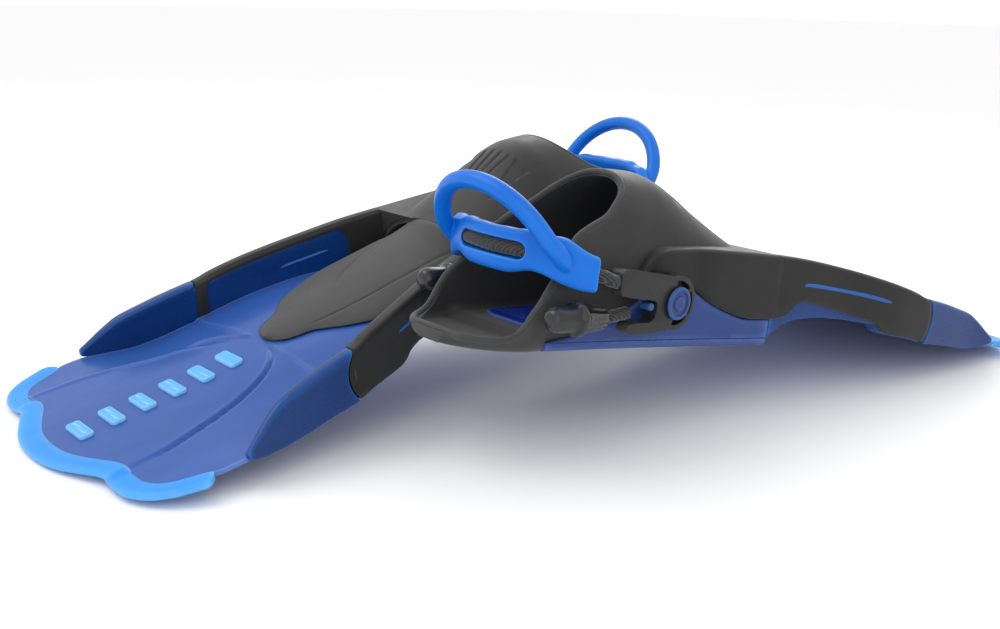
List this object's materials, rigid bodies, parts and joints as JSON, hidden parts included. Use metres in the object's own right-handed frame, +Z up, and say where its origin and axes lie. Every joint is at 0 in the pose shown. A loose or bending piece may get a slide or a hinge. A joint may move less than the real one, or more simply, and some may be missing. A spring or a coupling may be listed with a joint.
{
  "type": "swim fins",
  "caption": "Pair of open-heel swim fins with lobed blades, side rails, rubber foot pockets and bungee heel straps with pull loops, lying crossed.",
  "frame": {"origin": "on the ground under the middle of the crossed pair: the centre of the bounding box's bottom, on the axis that turns one fin onto the other", "axes": "+X along fin B's blade, heel to tip, as seen from above; +Y from fin B's centre line towards fin A's; +Z up. Each fin lies nose down by 7.95 degrees"},
  "size_m": [0.7044, 0.3896, 0.17],
  "materials": {
    "blade_blue": "semi-gloss moulded violet-blue polymer",
    "rail_blue": "semi-gloss deep blue polymer",
    "outsole_blue": "semi-gloss moulded blue polymer",
    "pocket_rubber": "fine matte black thermoplastic rubber",
    "overmould_rubber": "satin black thermoplastic rubber",
    "sky_blue_trim": "smooth light blue soft trim",
    "azure_rubber": "smooth bright azure silicone-like rubber",
    "footbed_blue": "satin blue ribbed insole",
    "buckle_black": "fine-textured black nylon",
    "bungee_cord": "braided black sheath over elastic core",
    "toggle_black": "satin to glossy black plastic",
    "stud_blue": "moulded blue polymer"
  },
  "bodies": {
    "fin_a": {"fin_a_foot_pocket": "pocket_rubber", "fin_a_outsole": "outsole_blue", "fin_a_footbed": "footbed_blue", "fin_a_tongue": "pocket_rubber", "fin_a_blade": "blade_blue", "fin_a_blade_bars": "sky_blue_trim", "fin_a_tip_trim": "sky_blue_trim", "fin_a_rail_left": "rail_blue", "fin_a_rail_right": "rail_blue", "fin_a_rail_cover_left": "overmould_rubber", "fin_a_rail_cover_right": "overmould_rubber", "fin_a_stud_left": "stud_blue", "fin_a_stud_right": "stud_blue"},
    "fin_a_buckles": {"fin_a_buckle_left": "buckle_black", "fin_a_buckle_right": "buckle_black", "fin_a_cord_post_left": "stud_blue", "fin_a_cord_post_right": "stud_blue"},
    "fin_a_strap": {"fin_a_heel_cord": "bungee_cord", "fin_a_heel_pad": "azure_rubber"},
    "fin_a_tails": {"fin_a_tail_cord_left": "bungee_cord", "fin_a_tail_cord_right": "bungee_cord", "fin_a_toggle_left": "toggle_black", "fin_a_toggle_right": "toggle_black"},
    "fin_b": {"fin_b_foot_pocket": "pocket_rubber", "fin_b_outsole": "outsole_blue", "fin_b_footbed": "footbed_blue", "fin_b_tongue": "pocket_rubber", "fin_b_blade": "blade_blue", "fin_b_blade_bars": "sky_blue_trim", "fin_b_tip_trim": "sky_blue_trim", "fin_b_rail_left": "rail_blue", "fin_b_rail_right": "rail_blue", "fin_b_rail_cover_left": "overmould_rubber", "fin_b_rail_cover_right": "overmould_rubber", "fin_b_stud_left": "stud_blue", "fin_b_stud_right": "stud_blue"},
    "fin_b_buckles": {"fin_b_buckle_left": "buckle_black", "fin_b_buckle_right": "buckle_black", "fin_b_cord_post_left": "stud_blue", "fin_b_cord_post_right": "stud_blue"},
    "fin_b_strap": {"fin_b_heel_cord": "bungee_cord", "fin_b_heel_pad": "azure_rubber"},
    "fin_b_tails": {"fin_b_tail_cord_left": "bungee_cord", "fin_b_tail_cord_right": "bungee_cord", "fin_b_toggle_left": "toggle_black", "fin_b_toggle_right": "toggle_black"}
  },
  "joints": [
    {"name": "pull_apart", "type": "slide", "parent": "fin_a", "child": "fin_b", "axis": [0, -1, 0], "range_m": [0, 0.15]},
    {"name": "fin_a_strap_swing", "type": "hinge", "parent": "fin_a", "child": "fin_a_buckles", "pos_m": [0.0421, 0.076, 0.09018], "axis": [0, -1, 0], "range_deg": [0, 65]},
    {"name": "fin_a_strap_adjust", "type": "slide", "parent": "fin_a_buckles", "child": "fin_a_strap", "axis": [0.9526, 0, 0.3042], "range_m": [0, 0.01]},
    {"name": "fin_a_tail_slide", "type": "slide", "parent": "fin_a_buckles", "child": "fin_a_tails", "axis": [-0.9944, 0, 0.106], "range_m": [0, 0.01]},
    {"name": "fin_b_strap_swing", "type": "hinge", "parent": "fin_b", "child": "fin_b_buckles", "pos_m": [-0.0421, -0.076, 0.09018], "axis": [0, 1, 0], "range_deg": [0, 65]},
    {"name": "fin_b_strap_adjust", "type": "slide", "parent": "fin_b_buckles", "child": "fin_b_strap", "axis": [-0.9526, 0, 0.3042], "range_m": [0, 0.01]},
    {"name": "fin_b_tail_slide", "type": "slide", "parent": "fin_b_buckles", "child": "fin_b_tails", "axis": [0.9944, 0, 0.106], "range_m": [0, 0.01]}
  ],
  "couplings": [
    {"joint": "fin_a_tail_slide", "follows": "fin_a_strap_adjust", "ratio": 1},
    {"joint": "fin_b_tail_slide", "follows": "fin_b_strap_adjust", "ratio": 1}
  ]
}
